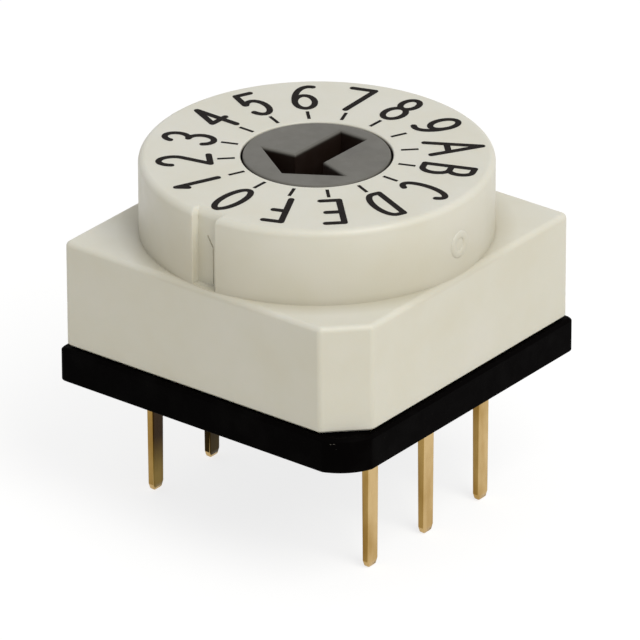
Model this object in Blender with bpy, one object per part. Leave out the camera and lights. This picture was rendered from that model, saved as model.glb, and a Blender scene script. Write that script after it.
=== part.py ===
"""Rotary coded switch with sixteen positions, for a printed circuit board.

A moulded housing with a round collar stands on a black base. The rotor shows in the collar and has an
arrow slot for a screwdriver. Under it a wavy detent wheel runs between two leaf springs, and a code disc
turns over six spring fingers, whose pins come out of the base. Sizes are in millimetres, Z is up, the
underside of the base is at Z = 0 and the rotor turns about Z. The near corner is the one at +X, -Y.
"""

import math

import bmesh
import bpy
from mathutils import Matrix, Vector

MM = 0.001

# Housing, outside
BODY_SIDE = 10.0
CORNER_CUT = 1.05
CORNER_RADIUS = 0.18
SHOULDER_Z = 4.29
SHOULDER_EDGE = 0.12
COLLAR_RADIUS = 4.95
TOP_Z = 6.52
RIM_FILLET = 0.2
GROOVE_WIDTH = 0.8
GROOVE_DEPTH = 0.35
GATE_RADIUS = 0.36
GATE_LINE = 0.1
GATE_DEPTH = 0.04
GATE_Z = 5.25

# The scale, the groove and the arrow stand this many degrees off the body's own axes
INDEX_TURN = -1.0

# Housing, inside
ROOF_THICKNESS = 0.8
SHOULDER_WALL = 0.8
CAVITY_MARGIN = 0.265
CAVITY_CORNER = 0.5

# Base
BASE_THICKNESS = 1.04
BASE_REACH = 0.13
BASE_BOW_RADIUS = 1.67
BASE_BOW_SHIFT = 0.1
SEAM_BEVEL = 0.08
SPIGOT_HEIGHT = 0.58
PIVOT_BOSS_RADIUS = 0.75
PIVOT_BOSS_HEIGHT = 1.2
PIVOT_RADIUS = 0.47
PIVOT_ENGAGEMENT = 0.4
TROUGH_WIDTH = 1.3
TROUGH_MARGIN = 0.9
TROUGH_DEPTH = 0.35

# Rotor
ROTOR_RADIUS = 2.12
ROTOR_EDGE = 0.05
ARROW_DEPTH = 1.5
ARROW_LENGTH = 3.2
ARROW_TIP_REACH = 1.55
ARROW_HEAD_WIDTH = 3.07
ARROW_HEAD_LENGTH = 0.98
ARROW_BARB_SWEEP = 0.19
ARROW_SHAFT_WIDTH = 0.96
WHEEL_RADIUS = 3.45
WHEEL_DEPTH = 0.2
WHEEL_THICKNESS = 0.76
FLANGE_RADIUS = 4.15
FLANGE_THICKNESS = 0.3
DRIVE_SIDE = 1.5
DRIVE_HEIGHT = 0.5
SEAL_SECTION = 0.55

# Detent springs
POSITIONS = 16
SPRING_THICKNESS = 0.12
SPRING_HALF_ANGLE = 42.0
SPRING_DIRECTIONS = {"detent_spring_back": 45.0, "detent_spring_front": 225.0}
RIB_WIDTH = 0.3
RIB_HEIGHT = 0.35

# Code disc
CARRIER_RADIUS = 3.7
CARRIER_THICKNESS = 0.57
PLATE_INNER = 0.95
PLATE_OUTER = 3.55
PLATE_THICKNESS = 0.15
TRACK_WIDTH = 0.4
TRACK_PITCH = 0.5
FIRST_TRACK_RADIUS = 1.7

# Terminals
PIN_PITCH = 2.54
ROW_SPACING = 7.62
PIN_LENGTH = 4.05
PIN_WIDTH = 0.5
PIN_THICKNESS = 0.25
PIN_END_WIDTH = 0.45
PIN_END_THICKNESS = 0.21
PIN_TIP_LENGTH = 0.22
FINGER_WIDTH = 0.5
FINGER_TIP_WIDTH = 0.3
FINGER_THICKNESS = 0.15
BEND_RADIUS = 0.3
COMMON_RADIUS = 1.2

# The pin's rounded tip and the finger's rise, as shares of their length; the last share is the lip
PIN_TIP_SHARES = ((0.0, 0.45), (0.25, 0.8), (1.0, 1.0))
FINGER_FLAT_SHARE = 0.15
FINGER_SHARES = (0.15, 0.3, 0.5, 0.7, 0.85, 0.95, 1.0, 1.08)
LIP_HEIGHT_SHARE = 0.97

# Clearances between pieces
FIT_GAP = 0.03
RUNNING_GAP = 0.05
FLANGE_GAP = 0.1
OVERLAP = 0.2
LEAST_RADIUS = 0.02

# Facets
COLLAR_SEGMENTS = 72
ROTOR_SEGMENTS = 48
DISC_SEGMENTS = 64
SEAL_SEGMENTS = 40
SEAL_SIDES = 10
PIVOT_SEGMENTS = 24
GATE_SEGMENTS = 20
WAVE_STEPS = 8
SPRING_STEPS = 28
CORNER_STEPS = 3
BOW_STEPS = 6
RIM_STEPS = 4

# Levels worked out from the sizes, from the top down to the code disc
ROOF_Z = TOP_Z - ROOF_THICKNESS
WHEEL_TOP = ROOF_Z - SEAL_SECTION - 2 * FIT_GAP
FLANGE_TOP = WHEEL_TOP - WHEEL_THICKNESS
FLANGE_BOTTOM = FLANGE_TOP - FLANGE_THICKNESS
CARRIER_TOP = FLANGE_BOTTOM - FIT_GAP
CARRIER_BOTTOM = CARRIER_TOP - CARRIER_THICKNESS
PLATE_TOP = CARRIER_BOTTOM - FIT_GAP
PLATE_BOTTOM = PLATE_TOP - PLATE_THICKNESS
PIVOT_TOP = FLANGE_BOTTOM + PIVOT_ENGAGEMENT

# Levels and reaches worked out from the base up
HOUSING_BOTTOM = BASE_THICKNESS + FIT_GAP
SPIGOT_TOP = BASE_THICKNESS + SPIGOT_HEIGHT
BLADE_Z = SPIGOT_TOP + FIT_GAP + FINGER_THICKNESS / 2
CAVITY_HALF = ROW_SPACING / 2 + PIN_THICKNESS / 2 + CAVITY_MARGIN
CAVITY_RADIUS = FLANGE_RADIUS + FLANGE_GAP
STEP_ANGLE = 360 / POSITIONS

# Each terminal: side of the body, row along Y, track number, direction of its contact point.
# Tracks 1 to 4 read the bits 8, 4, 2 and 1, and track 0 is the common ring.
TERMINALS = {
    "terminal_common_side": (1, 0, 0, 0.0),
    "terminal_common_front": (1, -1, 0, -45.0),
    "terminal_8": (-1, 0, 1, 180.0),
    "terminal_4": (1, 1, 2, 67.5),
    "terminal_2": (-1, 1, 3, 112.5),
    "terminal_1": (-1, -1, 4, -112.5),
}


def material(name, colour, roughness, metallic=0.0):
    """A Principled material with a linear RGB colour."""
    made = bpy.data.materials.new(name)
    made.use_nodes = True
    shader = made.node_tree.nodes["Principled BSDF"]
    shader.inputs["Base Color"].default_value = (*colour, 1.0)
    shader.inputs["Roughness"].default_value = roughness
    shader.inputs["Metallic"].default_value = metallic
    return made


def add_object(name, mesh_data, finish=None, parent=None):
    """Turn a bmesh in millimetres into an object in metres; without a finish it is a tool shape."""
    bmesh.ops.recalc_face_normals(mesh_data, faces=mesh_data.faces)
    mesh_data.transform(Matrix.Scale(MM, 4))
    mesh = bpy.data.meshes.new(name)
    mesh_data.to_mesh(mesh)
    mesh_data.free()
    made = bpy.data.objects.new(name, mesh)
    bpy.context.scene.collection.objects.link(made)
    if finish is None:
        made.hide_render = True
        made.display_type = "WIRE"
    else:
        mesh.materials.append(finish)
        mesh.shade_smooth()
        mesh.set_sharp_from_angle(angle=math.radians(30))
    made.parent = parent
    return made


def combine(target, operation, tool):
    """Cut a tool shape from the target, or join it on."""
    step = target.modifiers.new(tool.name, "BOOLEAN")
    step.operation = operation
    step.object = tool


def polar(radius, degrees):
    """The point at a radius and a direction in the plan."""
    return radius * math.cos(math.radians(degrees)), radius * math.sin(math.radians(degrees))


def arc(centre, radius, start, end, steps):
    """Points along an arc, both ends included."""
    points = []
    for step in range(steps + 1):
        x, y = polar(radius, start + (end - start) * step / steps)
        points.append((centre[0] + x, centre[1] + y))
    return points


def rounded_square(half, near, radius):
    """Plan outline from the near corner's own points on, with the other three corners rounded."""
    points = list(near)
    for index, (side_x, side_y) in enumerate(((1, 1), (-1, 1), (-1, -1))):
        centre = (side_x * (half - radius), side_y * (half - radius))
        points += arc(centre, radius, 90 * index, 90 * index + 90, CORNER_STEPS)
    return points


def even_square(half, radius):
    """Plan outline of a square with four equal rounded corners."""
    near = arc((half - radius, radius - half), radius, -90, 0, CORNER_STEPS)
    return rounded_square(half, near, radius)


def loft(mesh_data, levels):
    """Close a solid through plan outlines with equal point counts, given as (z, outline)."""
    rings = [[mesh_data.verts.new((x, y, z)) for x, y in outline] for z, outline in levels]
    for lower, upper in zip(rings, rings[1:]):
        for index in range(len(lower)):
            following = (index + 1) % len(lower)
            mesh_data.faces.new((lower[index], lower[following], upper[following], upper[index]))
    mesh_data.faces.new(list(reversed(rings[0])))
    mesh_data.faces.new(rings[-1])


def prism(mesh_data, outline, bottom, top):
    """Extrude a plan outline between two levels."""
    loft(mesh_data, [(bottom, outline), (top, outline)])


def turned(mesh_data, profile, segments):
    """Turn a profile of (radius, z) points about Z, from the axis and back to it."""
    rings = []
    for radius, z in profile:
        if radius == 0:
            rings.append([mesh_data.verts.new((0, 0, z))])
            continue
        circle = [polar(radius, 360 * step / segments) for step in range(segments)]
        rings.append([mesh_data.verts.new((x, y, z)) for x, y in circle])
    for lower, upper in zip(rings, rings[1:]):
        for index in range(segments):
            following = (index + 1) % segments
            if len(lower) == 1:
                mesh_data.faces.new((lower[0], upper[following], upper[index]))
            elif len(upper) == 1:
                mesh_data.faces.new((lower[index], lower[following], upper[0]))
            else:
                mesh_data.faces.new((lower[index], lower[following], upper[following], upper[index]))


def turned_ring(mesh_data, profile, segments):
    """Turn a closed profile that stays clear of the axis."""
    rings = []
    for radius, z in profile:
        circle = [polar(radius, 360 * step / segments) for step in range(segments)]
        rings.append([mesh_data.verts.new((x, y, z)) for x, y in circle])
    for lower, upper in zip(rings, rings[1:] + rings[:1]):
        for index in range(segments):
            following = (index + 1) % segments
            mesh_data.faces.new((lower[index], lower[following], upper[following], upper[index]))


def box(mesh_data, centre, size, turn=0.0):
    """A box given by its centre and size, turned about Z."""
    matrix = Matrix.Rotation(math.radians(turn), 4, "Z") @ Matrix.Translation(centre)
    matrix = matrix @ Matrix.Diagonal((*size, 1.0))
    bmesh.ops.create_cube(mesh_data, size=1.0, matrix=matrix)


def strip(mesh_data, stations):
    """A stamped strip through (centre, width direction, thickness direction, width, thickness)."""
    rings = []
    for centre, across, normal, width, thickness in stations:
        half_width = across * width / 2
        half_depth = normal * thickness / 2
        corners = (half_width + half_depth, half_depth - half_width,
                   -half_width - half_depth, half_width - half_depth)
        rings.append([mesh_data.verts.new(centre + corner) for corner in corners])
    for lower, upper in zip(rings, rings[1:]):
        for index in range(4):
            following = (index + 1) % 4
            mesh_data.faces.new((lower[index], lower[following], upper[following], upper[index]))
    mesh_data.faces.new(list(reversed(rings[0])))
    mesh_data.faces.new(rings[-1])


def housing_outline(inset):
    """The housing's plan outline, drawn in by an inset."""
    half = BODY_SIDE / 2 - inset
    cut = CORNER_CUT - inset * (2 - math.sqrt(2))
    near = [(half - cut, -half), (half, cut - half)]
    return rounded_square(half, near, max(CORNER_RADIUS - inset, LEAST_RADIUS))


def base_outline(inset):
    """The base's plan outline, drawn in by an inset, its near corner cut with a slight bow."""
    half = BODY_SIDE / 2 + BASE_REACH - inset
    depth = BASE_BOW_RADIUS - BASE_BOW_SHIFT
    centre = BODY_SIDE / 2 + BASE_REACH - depth
    radius = BASE_BOW_RADIUS - inset
    lean = math.degrees(math.asin((depth - inset) / radius))
    near = arc((centre, -centre), radius, -lean, lean - 90, BOW_STEPS)
    return rounded_square(half, near, max(CORNER_RADIUS - inset, LEAST_RADIUS))


def fillet_levels(top, radius, outline):
    """Levels of a rounded upper edge below a top face."""
    levels = []
    for step in range(CORNER_STEPS + 1):
        angle = math.pi / 2 * step / CORNER_STEPS
        levels.append((top - radius * (1 - math.sin(angle)), outline(radius * (1 - math.cos(angle)))))
    return levels


def make_housing(finish):
    """The moulded cover: square block, collar, bore, cavity, groove and spring ribs."""
    block = bmesh.new()
    seam = [(HOUSING_BOTTOM, housing_outline(SEAM_BEVEL)), (HOUSING_BOTTOM + SEAM_BEVEL, housing_outline(0))]
    loft(block, seam + fillet_levels(SHOULDER_Z, SHOULDER_EDGE, housing_outline))
    housing = add_object("housing", block, finish)

    collar = bmesh.new()
    rim = arc((COLLAR_RADIUS - RIM_FILLET, TOP_Z - RIM_FILLET), RIM_FILLET, 0, 90, RIM_STEPS)
    foot_z = SHOULDER_Z - SHOULDER_WALL / 2
    turned(collar, [(0, foot_z), (COLLAR_RADIUS, foot_z), *rim, (0, TOP_Z)], COLLAR_SEGMENTS)
    combine(housing, "UNION", add_object("collar_shape", collar))

    groove = bmesh.new()
    groove_height = TOP_Z - SHOULDER_Z
    groove_y = -COLLAR_RADIUS + GROOVE_DEPTH - OVERLAP - GROOVE_DEPTH / 2
    groove_size = (GROOVE_WIDTH, GROOVE_DEPTH + 2 * OVERLAP, 2 * groove_height)
    box(groove, (0, groove_y, SHOULDER_Z + groove_height), groove_size, INDEX_TURN)
    combine(housing, "DIFFERENCE", add_object("groove_cutter", groove))

    gate = bmesh.new()
    ring = [(GATE_RADIUS - GATE_LINE, 0), (GATE_RADIUS, 0), (GATE_RADIUS, OVERLAP + GATE_DEPTH),
            (GATE_RADIUS - GATE_LINE, OVERLAP + GATE_DEPTH)]
    turned_ring(gate, ring, GATE_SEGMENTS)
    gate.transform(Matrix.Rotation(math.pi / 2, 4, "Y"))
    gate.transform(Matrix.Translation((COLLAR_RADIUS - GATE_DEPTH, 0, GATE_Z)))
    combine(housing, "DIFFERENCE", add_object("gate_cutter", gate))

    bore = bmesh.new()
    bore_radius = ROTOR_RADIUS + RUNNING_GAP
    turned(bore, [(0, ROOF_Z - OVERLAP), (bore_radius, ROOF_Z - OVERLAP), (bore_radius, TOP_Z + OVERLAP),
                  (0, TOP_Z + OVERLAP)], ROTOR_SEGMENTS)
    combine(housing, "DIFFERENCE", add_object("bore_cutter", bore))

    round_cavity = bmesh.new()
    square_roof = SHOULDER_Z - SHOULDER_WALL
    cavity_foot = square_roof - OVERLAP
    turned(round_cavity, [(0, cavity_foot), (CAVITY_RADIUS, cavity_foot), (CAVITY_RADIUS, ROOF_Z),
                          (0, ROOF_Z)], COLLAR_SEGMENTS)
    combine(housing, "DIFFERENCE", add_object("round_cavity_cutter", round_cavity))

    square_cavity = bmesh.new()
    prism(square_cavity, even_square(CAVITY_HALF, CAVITY_CORNER), HOUSING_BOTTOM - OVERLAP, square_roof)
    combine(housing, "DIFFERENCE", add_object("square_cavity_cutter", square_cavity))

    ribs = bmesh.new()
    rib_bottom = FLANGE_TOP + RUNNING_GAP
    rib_turn = math.degrees((RIB_WIDTH / 2 + RUNNING_GAP) / CAVITY_RADIUS)
    rib_length = RIB_HEIGHT + OVERLAP
    rib_centre = (CAVITY_RADIUS - RIB_HEIGHT + rib_length / 2, 0, (rib_bottom + ROOF_Z + OVERLAP) / 2)
    for direction in SPRING_DIRECTIONS.values():
        for side in (-1, 1):
            turn = direction + side * (SPRING_HALF_ANGLE + rib_turn)
            box(ribs, rib_centre, (rib_length, RIB_WIDTH, ROOF_Z + OVERLAP - rib_bottom), turn)
    combine(housing, "UNION", add_object("rib_shape", ribs))


def make_base(finish):
    """The black base: flange, spigot, pivot, pin slots and sealing troughs."""
    plate = bmesh.new()
    top_bevel = [(BASE_THICKNESS - SEAM_BEVEL, base_outline(0)), (BASE_THICKNESS, base_outline(SEAM_BEVEL))]
    loft(plate, [(0, base_outline(0)), *top_bevel])
    base = add_object("base", plate, finish)

    spigot = bmesh.new()
    spigot_half = CAVITY_HALF - RUNNING_GAP
    prism(spigot, even_square(spigot_half, CAVITY_CORNER), BASE_THICKNESS / 2, SPIGOT_TOP)
    combine(base, "UNION", add_object("spigot_shape", spigot))

    pivot = bmesh.new()
    boss_top = SPIGOT_TOP + PIVOT_BOSS_HEIGHT
    foot_z = SPIGOT_TOP - OVERLAP
    turned(pivot, [(0, foot_z), (PIVOT_BOSS_RADIUS, foot_z), (PIVOT_BOSS_RADIUS, boss_top),
                   (PIVOT_RADIUS, boss_top), (PIVOT_RADIUS, PIVOT_TOP - FIT_GAP), (0, PIVOT_TOP - FIT_GAP)],
           PIVOT_SEGMENTS)
    combine(base, "UNION", add_object("pivot_shape", pivot))

    slots = bmesh.new()
    for side, row, _, _ in TERMINALS.values():
        centre = (side * ROW_SPACING / 2, row * PIN_PITCH, SPIGOT_TOP / 2)
        box(slots, centre, (PIN_THICKNESS + 2 * FIT_GAP, PIN_WIDTH + 2 * FIT_GAP, SPIGOT_TOP + 2 * OVERLAP))
    combine(base, "DIFFERENCE", add_object("slot_cutter", slots))

    troughs = bmesh.new()
    for side in (-1, 1):
        box(troughs, (side * ROW_SPACING / 2, 0, 0), trough_size(2 * TROUGH_DEPTH, 0))
    combine(base, "DIFFERENCE", add_object("trough_cutter", troughs))


def trough_size(height, gap):
    """Size of the sealing trough in the underside, or of the resin in it."""
    return TROUGH_WIDTH - 2 * gap, 2 * (PIN_PITCH + TROUGH_MARGIN - gap), height


def make_resin(finish):
    """The sealing resin round each row of pins, level with the underside."""
    height = TROUGH_DEPTH - 2 * FIT_GAP
    for name, side in (("sealing_resin_right", 1), ("sealing_resin_left", -1)):
        bead = bmesh.new()
        box(bead, (side * ROW_SPACING / 2, 0, FIT_GAP + height / 2), trough_size(height, FIT_GAP))
        resin = add_object(name, bead, finish)
        holes = bmesh.new()
        for row in (-1, 0, 1):
            centre = (side * ROW_SPACING / 2, row * PIN_PITCH, 0)
            box(holes, centre, (PIN_THICKNESS + 2 * FIT_GAP, PIN_WIDTH + 2 * FIT_GAP, 2 * BASE_THICKNESS))
        combine(resin, "DIFFERENCE", add_object(name + "_cutter", holes))


def wheel_radius(degrees):
    """Radius of the wavy detent wheel, lowest at each of the positions."""
    wave = math.cos(math.radians(degrees * POSITIONS / 2)) ** 2
    return WHEEL_RADIUS - WHEEL_DEPTH * wave


def arrow_outline():
    """Plan outline of the arrow slot, its tip towards -Y."""
    tip = -ARROW_TIP_REACH
    barb = tip + ARROW_HEAD_LENGTH
    neck = barb + ARROW_BARB_SWEEP
    end = tip + ARROW_LENGTH
    half_shaft = ARROW_SHAFT_WIDTH / 2
    half_head = ARROW_HEAD_WIDTH / 2
    return [(0, tip), (half_head, barb), (half_shaft, neck), (half_shaft, end),
            (-half_shaft, end), (-half_shaft, neck), (-half_head, barb)]


def make_rotor(finish, parent):
    """The rotor: head and neck, detent wheel, flange, square drive and arrow slot."""
    body = bmesh.new()
    edge = ROTOR_RADIUS - ROTOR_EDGE
    turned(body, [(0, FLANGE_BOTTOM), (FLANGE_RADIUS, FLANGE_BOTTOM), (FLANGE_RADIUS, FLANGE_TOP),
                  (ROTOR_RADIUS, FLANGE_TOP), (ROTOR_RADIUS, TOP_Z - ROTOR_EDGE), (edge, TOP_Z), (0, TOP_Z)],
           ROTOR_SEGMENTS)
    rotor = add_object("rotor", body, finish, parent)

    wheel = bmesh.new()
    steps = POSITIONS * WAVE_STEPS
    outline = [polar(wheel_radius(360 * step / steps), 360 * step / steps) for step in range(steps)]
    prism(wheel, outline, FLANGE_TOP - FLANGE_THICKNESS / 2, WHEEL_TOP)
    combine(rotor, "UNION", add_object("wheel_shape", wheel))

    drive = bmesh.new()
    drive_top = FLANGE_BOTTOM + FLANGE_THICKNESS / 2
    box(drive, (0, 0, drive_top - (DRIVE_HEIGHT + FLANGE_THICKNESS / 2) / 2),
        (DRIVE_SIDE, DRIVE_SIDE, DRIVE_HEIGHT + FLANGE_THICKNESS / 2))
    combine(rotor, "UNION", add_object("drive_shape", drive))

    bore = bmesh.new()
    radius = PIVOT_RADIUS + RUNNING_GAP
    foot_z = FLANGE_BOTTOM - DRIVE_HEIGHT - OVERLAP
    turned(bore, [(0, foot_z), (radius, foot_z), (radius, PIVOT_TOP), (0, PIVOT_TOP)], PIVOT_SEGMENTS)
    combine(rotor, "DIFFERENCE", add_object("pivot_bore_cutter", bore))

    arrow = bmesh.new()
    prism(arrow, arrow_outline(), TOP_Z - ARROW_DEPTH, TOP_Z + OVERLAP)
    arrow.transform(Matrix.Rotation(math.radians(INDEX_TURN), 4, "Z"))
    combine(rotor, "DIFFERENCE", add_object("arrow_cutter", arrow))


def make_seal(finish, parent):
    """The O-ring between the wheel and the roof, round the rotor's neck."""
    radius = SEAL_SECTION / 2
    centre = (ROTOR_RADIUS + FIT_GAP + radius, WHEEL_TOP + FIT_GAP + radius)
    section = arc(centre, radius, 0, 360, SEAL_SIDES)[:-1]
    ring = bmesh.new()
    turned_ring(ring, section, SEAL_SEGMENTS)
    add_object("rotor_seal", ring, finish, parent)


def spring_radius(degrees):
    """Inner radius of a leaf spring at an angle from its middle: a nose in the wheel, ends at the wall."""
    nose = STEP_ANGLE / 2
    clear_radius = WHEEL_RADIUS + FIT_GAP
    if abs(degrees) <= nose:
        return wheel_radius(degrees) + FIT_GAP
    share = (abs(degrees) - nose) / (SPRING_HALF_ANGLE - nose)
    end_radius = CAVITY_RADIUS * math.cos(math.pi / COLLAR_SEGMENTS) - FIT_GAP - SPRING_THICKNESS
    return clear_radius + (end_radius - clear_radius) * share ** 2 * (3 - 2 * share)


def make_springs(finish):
    """The two bowed leaf springs, each with a nose in a hollow of the wheel."""
    for name, direction in SPRING_DIRECTIONS.items():
        angles = [SPRING_HALF_ANGLE * (2 * step / SPRING_STEPS - 1) for step in range(SPRING_STEPS + 1)]
        inner = [polar(spring_radius(angle), direction + angle) for angle in angles]
        outer = [polar(spring_radius(angle) + SPRING_THICKNESS, direction + angle) for angle in angles]
        leaf = bmesh.new()
        prism(leaf, outer + inner[::-1], FLANGE_TOP + RUNNING_GAP, ROOF_Z - FIT_GAP)
        add_object(name, leaf, finish)


def track_radius(track):
    """Middle radius of a code track."""
    return COMMON_RADIUS if track == 0 else FIRST_TRACK_RADIUS + TRACK_PITCH * (track - 1)


def off_runs():
    """Each window of the code disc: its track, its start and its end, in degrees on the disc."""
    runs = []
    for side, row, track, direction in TERMINALS.values():
        if track == 0:
            continue
        block = 2 ** (4 - track)
        for start in range(0, POSITIONS, 2 * block):
            first = direction + STEP_ANGLE * (start - 0.5)
            runs.append((track, first, first + STEP_ANGLE * block))
    return runs


def ring_sector(mesh_data, inner, outer, start, end, bottom, top):
    """A curved block between two radii and two directions."""
    steps = max(1, round((end - start) * DISC_SEGMENTS / 360))
    outline = arc((0, 0), outer, start, end, steps) + arc((0, 0), inner, end, start, steps)
    prism(mesh_data, outline, bottom, top)


def make_code_disc(gold, plastic, parent):
    """The gold code plate with its windows, and the moulded carrier that fills them."""
    ring = bmesh.new()
    turned_ring(ring, [(PLATE_INNER, PLATE_BOTTOM), (PLATE_OUTER, PLATE_BOTTOM), (PLATE_OUTER, PLATE_TOP),
                       (PLATE_INNER, PLATE_TOP)], DISC_SEGMENTS)
    code_plate = add_object("code_plate", ring, gold, parent)
    windows = bmesh.new()
    islands = bmesh.new()
    for track, start, end in off_runs():
        middle = track_radius(track)
        inner = middle - TRACK_WIDTH / 2
        outer = middle + TRACK_WIDTH / 2
        ring_sector(windows, inner, outer, start, end, PLATE_BOTTOM - OVERLAP, PLATE_TOP + OVERLAP)
        margin = math.degrees(FIT_GAP / middle)
        ring_sector(islands, inner + FIT_GAP, outer - FIT_GAP, start + margin, end - margin,
                    PLATE_BOTTOM, CARRIER_BOTTOM + CARRIER_THICKNESS / 2)
    combine(code_plate, "DIFFERENCE", add_object("window_cutter", windows))

    disc = bmesh.new()
    turned(disc, [(0, CARRIER_BOTTOM), (CARRIER_RADIUS, CARRIER_BOTTOM), (CARRIER_RADIUS, CARRIER_TOP),
                  (0, CARRIER_TOP)], DISC_SEGMENTS)
    carrier = add_object("code_carrier", disc, plastic, parent)
    combine(carrier, "UNION", add_object("island_shape", islands))
    hole = bmesh.new()
    side = DRIVE_SIDE + 2 * FIT_GAP
    box(hole, (0, 0, CARRIER_BOTTOM), (side, side, 2 * CARRIER_THICKNESS + 2 * OVERLAP))
    combine(carrier, "DIFFERENCE", add_object("drive_cutter", hole))


def pin_stations(x, y):
    """The straight pin, from its tip up to the bend."""
    across = Vector((0, 1, 0))
    normal = Vector((1, 0, 0))
    levels = [(PIN_TIP_LENGTH * rise - PIN_LENGTH, PIN_END_WIDTH * share, PIN_END_THICKNESS * share)
              for rise, share in PIN_TIP_SHARES]
    levels.append((0, PIN_WIDTH, PIN_THICKNESS))
    return [(Vector((x, y, z)), across, normal, width, thickness) for z, width, thickness in levels]


def finger_stations(x, y, side, contact, contact_z):
    """The bend over the base and the spring finger up to the code disc."""
    stations = []
    inward = Vector((-side, 0, 0))
    across = Vector((0, 1, 0))
    bend_z = BLADE_Z - BEND_RADIUS
    for angle in (0, 30, 60, 90):
        turn = math.radians(angle)
        centre = Vector((x, y, bend_z)) + inward * BEND_RADIUS * (1 - math.cos(turn))
        centre.z += BEND_RADIUS * math.sin(turn)
        normal = Vector((side * math.cos(turn), 0, math.sin(turn)))
        thickness = PIN_THICKNESS + (FINGER_THICKNESS - PIN_THICKNESS) * angle / 90
        stations.append((centre, across * side, normal, PIN_WIDTH, thickness))
    root = stations[-1][0]
    reach = Vector((contact[0] - root.x, contact[1] - root.y, 0))
    length = reach.length
    along = reach.normalized()
    sideways = along.cross(Vector((0, 0, 1)))
    rise = contact_z - BLADE_Z
    sloped = 1 - FINGER_FLAT_SHARE
    for share in FINGER_SHARES:
        climb = (share - FINGER_FLAT_SHARE) / sloped
        height = rise * math.sin(climb * math.pi / 2) if share <= 1 else rise * LIP_HEIGHT_SHARE
        slope = rise / length / sloped * math.pi / 2 * math.cos(min(climb, 1.0) * math.pi / 2)
        normal = Vector((-along.x * slope, -along.y * slope, 1)).normalized()
        width = FINGER_WIDTH + (FINGER_TIP_WIDTH - FINGER_WIDTH) * max(climb, 0)
        centre = root + along * length * share + Vector((0, 0, height))
        stations.append((centre, sideways, normal, width, FINGER_THICKNESS))
    return stations


def make_terminals(finish):
    """The six stamped terminals, pin and spring finger in one."""
    contact_z = PLATE_BOTTOM - FIT_GAP - FINGER_THICKNESS / 2
    for name, (side, row, track, direction) in TERMINALS.items():
        x = side * ROW_SPACING / 2
        y = row * PIN_PITCH
        contact = polar(track_radius(track), direction)
        finger = finger_stations(x, y, side, contact, contact_z)
        pin = [(centre, across * side, normal * side, width, thickness)
               for centre, across, normal, width, thickness in pin_stations(x, y)]
        blade = bmesh.new()
        strip(blade, pin + finger)
        add_object(name, blade, finish)


def main():
    """Build the switch."""
    for old in list(bpy.data.objects):
        bpy.data.objects.remove(old)
    cream = material("cream_plastic", (0.72, 0.71, 0.62), 0.45)
    black = material("black_plastic", (0.006, 0.005, 0.005), 0.5)
    grey = material("grey_plastic", (0.17, 0.17, 0.165), 0.5)
    rubber = material("seal_rubber", (0.02, 0.02, 0.02), 0.8)
    gold = material("gold_plating", (0.6, 0.42, 0.16), 0.3, 1.0)
    steel = material("spring_steel", (0.5, 0.5, 0.5), 0.3, 1.0)
    amber = material("carrier_plastic", (0.25, 0.2, 0.12), 0.5)
    resin = material("sealing_resin", (0.01, 0.01, 0.01), 0.35)

    rotor_axis = bpy.data.objects.new("rotor_axis", None)
    bpy.context.scene.collection.objects.link(rotor_axis)

    make_housing(cream)
    make_base(black)
    make_resin(resin)
    make_terminals(gold)
    make_springs(steel)
    make_rotor(grey, rotor_axis)
    make_seal(rubber, rotor_axis)
    make_code_disc(gold, amber, rotor_axis)


main()
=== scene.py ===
"""Looks of the rotary coded switch: moulded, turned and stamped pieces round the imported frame.

Sizes are in millimetres in the classes and turned to metres when a mesh is made. Z is up, the base's
underside is at Z = 0, the rotor turns about Z, position 0 is towards -Y and the cut corner is at +X, -Y.
"""

from __future__ import annotations

import logging
import math
from dataclasses import dataclass, field
from enum import Enum
from typing import Callable, Iterable, Sequence

import bmesh
import bpy
from mathutils import Matrix, Vector

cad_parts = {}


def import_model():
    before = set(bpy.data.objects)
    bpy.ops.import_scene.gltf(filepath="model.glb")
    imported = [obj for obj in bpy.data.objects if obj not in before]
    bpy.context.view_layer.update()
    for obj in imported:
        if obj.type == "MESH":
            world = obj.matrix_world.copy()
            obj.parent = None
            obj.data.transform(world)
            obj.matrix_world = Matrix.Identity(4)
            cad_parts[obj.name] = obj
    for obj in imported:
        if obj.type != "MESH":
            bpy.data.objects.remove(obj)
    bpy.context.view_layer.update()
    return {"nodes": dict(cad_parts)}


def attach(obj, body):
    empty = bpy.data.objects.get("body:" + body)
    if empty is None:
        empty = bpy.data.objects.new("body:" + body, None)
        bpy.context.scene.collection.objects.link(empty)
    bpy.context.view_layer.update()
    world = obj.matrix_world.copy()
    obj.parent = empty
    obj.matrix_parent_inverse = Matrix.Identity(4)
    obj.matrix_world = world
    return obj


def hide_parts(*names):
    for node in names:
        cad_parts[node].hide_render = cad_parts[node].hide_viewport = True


LOG = logging.getLogger("rotary_switch")
MM = 0.001

Point = tuple[float, float]
Triple = tuple[float, float, float]
Outline = list[Point]
Piece = bpy.types.Object
Material = bpy.types.Material
Tree = bpy.types.NodeTree
Node = bpy.types.Node
Socket = bpy.types.NodeSocket


class Body(Enum):
    """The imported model's moving bodies."""

    SWITCH = "switch_body"
    ROTOR = "rotor_set"


class Joining(Enum):
    """What a tool shape does to a solid."""

    ADD = "UNION"
    CUT = "DIFFERENCE"


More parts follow.
